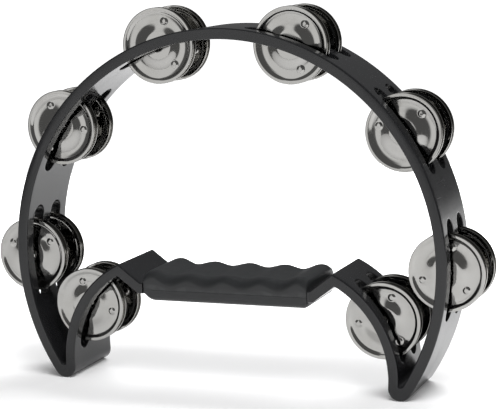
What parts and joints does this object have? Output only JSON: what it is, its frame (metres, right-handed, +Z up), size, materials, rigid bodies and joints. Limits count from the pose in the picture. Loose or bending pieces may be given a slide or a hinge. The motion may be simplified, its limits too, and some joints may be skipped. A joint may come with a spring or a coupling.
{
  "type": "half-moon tambourine",
  "caption": "Half-moon hand tambourine: curved slotted frame with two rows of paired metal jingles on pins, and a straight grip with finger grooves.",
  "frame": {"origin": "on the floor under the middle of the instrument as it stands upright on its two foot tips", "axes": "+X from the left foot to the right foot, +Y from the front face to the rear face along the jingle pins, +Z up through the arch"},
  "size_m": [0.3084, 0.051, 0.2246],
  "materials": {
    "frame": "satin black moulded plastic",
    "grip": "satin dark grey",
    "jingles": "bright nickel-plated pressed steel",
    "pins": "bright drawn steel",
    "screws": "dark zinc"
  },
  "bodies": {
    "frame": {"frame": "frame", "grip_upper": "grip", "grip_lower": "grip", "grip_screws": "screws", "pin_top_left": "pins", "pin_top_right": "pins", "pin_shoulder_left": "pins", "pin_shoulder_right": "pins", "pin_side_left": "pins", "pin_side_right": "pins", "pin_foot_left": "pins", "pin_foot_right": "pins"},
    "jingle_top_left_front_a": {"jingle_top_left_front_a": "jingles"},
    "jingle_top_left_front_b": {"jingle_top_left_front_b": "jingles"},
    "jingle_top_left_rear_a": {"jingle_top_left_rear_a": "jingles"},
    "jingle_top_left_rear_b": {"jingle_top_left_rear_b": "jingles"},
    "jingle_top_right_front_a": {"jingle_top_right_front_a": "jingles"},
    "jingle_top_right_front_b": {"jingle_top_right_front_b": "jingles"},
    "jingle_top_right_rear_a": {"jingle_top_right_rear_a": "jingles"},
    "jingle_top_right_rear_b": {"jingle_top_right_rear_b": "jingles"},
    "jingle_shoulder_left_front_a": {"jingle_shoulder_left_front_a": "jingles"},
    "jingle_shoulder_left_front_b": {"jingle_shoulder_left_front_b": "jingles"},
    "jingle_shoulder_left_rear_a": {"jingle_shoulder_left_rear_a": "jingles"},
    "jingle_shoulder_left_rear_b": {"jingle_shoulder_left_rear_b": "jingles"},
    "jingle_shoulder_right_front_a": {"jingle_shoulder_right_front_a": "jingles"},
    "jingle_shoulder_right_front_b": {"jingle_shoulder_right_front_b": "jingles"},
    "jingle_shoulder_right_rear_a": {"jingle_shoulder_right_rear_a": "jingles"},
    "jingle_shoulder_right_rear_b": {"jingle_shoulder_right_rear_b": "jingles"},
    "jingle_side_left_front_a": {"jingle_side_left_front_a": "jingles"},
    "jingle_side_left_front_b": {"jingle_side_left_front_b": "jingles"},
    "jingle_side_left_rear_a": {"jingle_side_left_rear_a": "jingles"},
    "jingle_side_left_rear_b": {"jingle_side_left_rear_b": "jingles"},
    "jingle_side_right_front_a": {"jingle_side_right_front_a": "jingles"},
    "jingle_side_right_front_b": {"jingle_side_right_front_b": "jingles"},
    "jingle_side_right_rear_a": {"jingle_side_right_rear_a": "jingles"},
    "jingle_side_right_rear_b": {"jingle_side_right_rear_b": "jingles"},
    "jingle_foot_left_front_a": {"jingle_foot_left_front_a": "jingles"},
    "jingle_foot_left_front_b": {"jingle_foot_left_front_b": "jingles"},
    "jingle_foot_left_rear_a": {"jingle_foot_left_rear_a": "jingles"},
    "jingle_foot_left_rear_b": {"jingle_foot_left_rear_b": "jingles"},
    "jingle_foot_right_front_a": {"jingle_foot_right_front_a": "jingles"},
    "jingle_foot_right_front_b": {"jingle_foot_right_front_b": "jingles"},
    "jingle_foot_right_rear_a": {"jingle_foot_right_rear_a": "jingles"},
    "jingle_foot_right_rear_b": {"jingle_foot_right_rear_b": "jingles"}
  },
  "joints": [
    {"name": "spin_top_left_front", "type": "hinge", "parent": "frame", "child": "jingle_top_left_front_a", "pos_m": [-0.04137, -0.01305, 0.20209], "axis": [0, 1, 0], "continuous": true},
    {"name": "clash_top_left_front", "type": "slide", "parent": "jingle_top_left_front_a", "child": "jingle_top_left_front_b", "axis": [0, 1, 0], "range_m": [-0.002, 0.0022]},
    {"name": "spin_top_left_rear", "type": "hinge", "parent": "frame", "child": "jingle_top_left_rear_a", "pos_m": [-0.04137, 0.00895, 0.20209], "axis": [0, 1, 0], "continuous": true},
    {"name": "clash_top_left_rear", "type": "slide", "parent": "jingle_top_left_rear_a", "child": "jingle_top_left_rear_b", "axis": [0, 1, 0], "range_m": [-0.002, 0.0022]},
    {"name": "spin_top_right_front", "type": "hinge", "parent": "frame", "child": "jingle_top_right_front_a", "pos_m": [0.04137, -0.01305, 0.20209], "axis": [0, 1, 0], "continuous": true},
    {"name": "clash_top_right_front", "type": "slide", "parent": "jingle_top_right_front_a", "child": "jingle_top_right_front_b", "axis": [0, 1, 0], "range_m": [-0.002, 0.0022]},
    {"name": "spin_top_right_rear", "type": "hinge", "parent": "frame", "child": "jingle_top_right_rear_a", "pos_m": [0.04137, 0.00895, 0.20209], "axis": [0, 1, 0], "continuous": true},
    {"name": "clash_top_right_rear", "type": "slide", "parent": "jingle_top_right_rear_a", "child": "jingle_top_right_rear_b", "axis": [0, 1, 0], "range_m": [-0.002, 0.0022]},
    {"name": "spin_shoulder_left_front", "type": "hinge", "parent": "frame", "child": "jingle_shoulder_left_front_a", "pos_m": [-0.10779, -0.01305, 0.15276], "axis": [0, 1, 0], "continuous": true},
    {"name": "clash_shoulder_left_front", "type": "slide", "parent": "jingle_shoulder_left_front_a", "child": "jingle_shoulder_left_front_b", "axis": [0, 1, 0], "range_m": [-0.002, 0.0022]},
    {"name": "spin_shoulder_left_rear", "type": "hinge", "parent": "frame", "child": "jingle_shoulder_left_rear_a", "pos_m": [-0.10779, 0.00895, 0.15276], "axis": [0, 1, 0], "continuous": true},
    {"name": "clash_shoulder_left_rear", "type": "slide", "parent": "jingle_shoulder_left_rear_a", "child": "jingle_shoulder_left_rear_b", "axis": [0, 1, 0], "range_m": [-0.002, 0.0022]},
    {"name": "spin_shoulder_right_front", "type": "hinge", "parent": "frame", "child": "jingle_shoulder_right_front_a", "pos_m": [0.10779, -0.01305, 0.15276], "axis": [0, 1, 0], "continuous": true},
    {"name": "clash_shoulder_right_front", "type": "slide", "parent": "jingle_shoulder_right_front_a", "child": "jingle_shoulder_right_front_b", "axis": [0, 1, 0], "range_m": [-0.002, 0.0022]},
    {"name": "spin_shoulder_right_rear", "type": "hinge", "parent": "frame", "child": "jingle_shoulder_right_rear_a", "pos_m": [0.10779, 0.00895, 0.15276], "axis": [0, 1, 0], "continuous": true},
    {"name": "clash_shoulder_right_rear", "type": "slide", "parent": "jingle_shoulder_right_rear_a", "child": "jingle_shoulder_right_rear_b", "axis": [0, 1, 0], "range_m": [-0.002, 0.0022]},
    {"name": "spin_side_left_front", "type": "hinge", "parent": "frame", "child": "jingle_side_left_front_a", "pos_m": [-0.1317, -0.01305, 0.07355], "axis": [0, 1, 0], "continuous": true},
    {"name": "clash_side_left_front", "type": "slide", "parent": "jingle_side_left_front_a", "child": "jingle_side_left_front_b", "axis": [0, 1, 0], "range_m": [-0.002, 0.0022]},
    {"name": "spin_side_left_rear", "type": "hinge", "parent": "frame", "child": "jingle_side_left_rear_a", "pos_m": [-0.1317, 0.00895, 0.07355], "axis": [0, 1, 0], "continuous": true},
    {"name": "clash_side_left_rear", "type": "slide", "parent": "jingle_side_left_rear_a", "child": "jingle_side_left_rear_b", "axis": [0, 1, 0], "range_m": [-0.002, 0.0022]},
    {"name": "spin_side_right_front", "type": "hinge", "parent": "frame", "child": "jingle_side_right_front_a", "pos_m": [0.1317, -0.01305, 0.07355], "axis": [0, 1, 0], "continuous": true},
    {"name": "clash_side_right_front", "type": "slide", "parent": "jingle_side_right_front_a", "child": "jingle_side_right_front_b", "axis": [0, 1, 0], "range_m": [-0.002, 0.0022]},
    {"name": "spin_side_right_rear", "type": "hinge", "parent": "frame", "child": "jingle_side_right_rear_a", "pos_m": [0.1317, 0.00895, 0.07355], "axis": [0, 1, 0], "continuous": true},
    {"name": "clash_side_right_rear", "type": "slide", "parent": "jingle_side_right_rear_a", "child": "jingle_side_right_rear_b", "axis": [0, 1, 0], "range_m": [-0.002, 0.0022]},
    {"name": "spin_foot_left_front", "type": "hinge", "parent": "frame", "child": "jingle_foot_left_front_a", "pos_m": [-0.09371, -0.01305, 0.04361], "axis": [0, 1, 0], "continuous": true},
    {"name": "clash_foot_left_front", "type": "slide", "parent": "jingle_foot_left_front_a", "child": "jingle_foot_left_front_b", "axis": [0, 1, 0], "range_m": [-0.002, 0.0022]},
    {"name": "spin_foot_left_rear", "type": "hinge", "parent": "frame", "child": "jingle_foot_left_rear_a", "pos_m": [-0.09371, 0.00895, 0.04361], "axis": [0, 1, 0], "continuous": true},
    {"name": "clash_foot_left_rear", "type": "slide", "parent": "jingle_foot_left_rear_a", "child": "jingle_foot_left_rear_b", "axis": [0, 1, 0], "range_m": [-0.002, 0.0022]},
    {"name": "spin_foot_right_front", "type": "hinge", "parent": "frame", "child": "jingle_foot_right_front_a", "pos_m": [0.09371, -0.01305, 0.04361], "axis": [0, 1, 0], "continuous": true},
    {"name": "clash_foot_right_front", "type": "slide", "parent": "jingle_foot_right_front_a", "child": "jingle_foot_right_front_b", "axis": [0, 1, 0], "range_m": [-0.002, 0.0022]},
    {"name": "spin_foot_right_rear", "type": "hinge", "parent": "frame", "child": "jingle_foot_right_rear_a", "pos_m": [0.09371, 0.00895, 0.04361], "axis": [0, 1, 0], "continuous": true},
    {"name": "clash_foot_right_rear", "type": "slide", "parent": "jingle_foot_right_rear_a", "child": "jingle_foot_right_rear_b", "axis": [0, 1, 0], "range_m": [-0.002, 0.0022]}
  ]
}
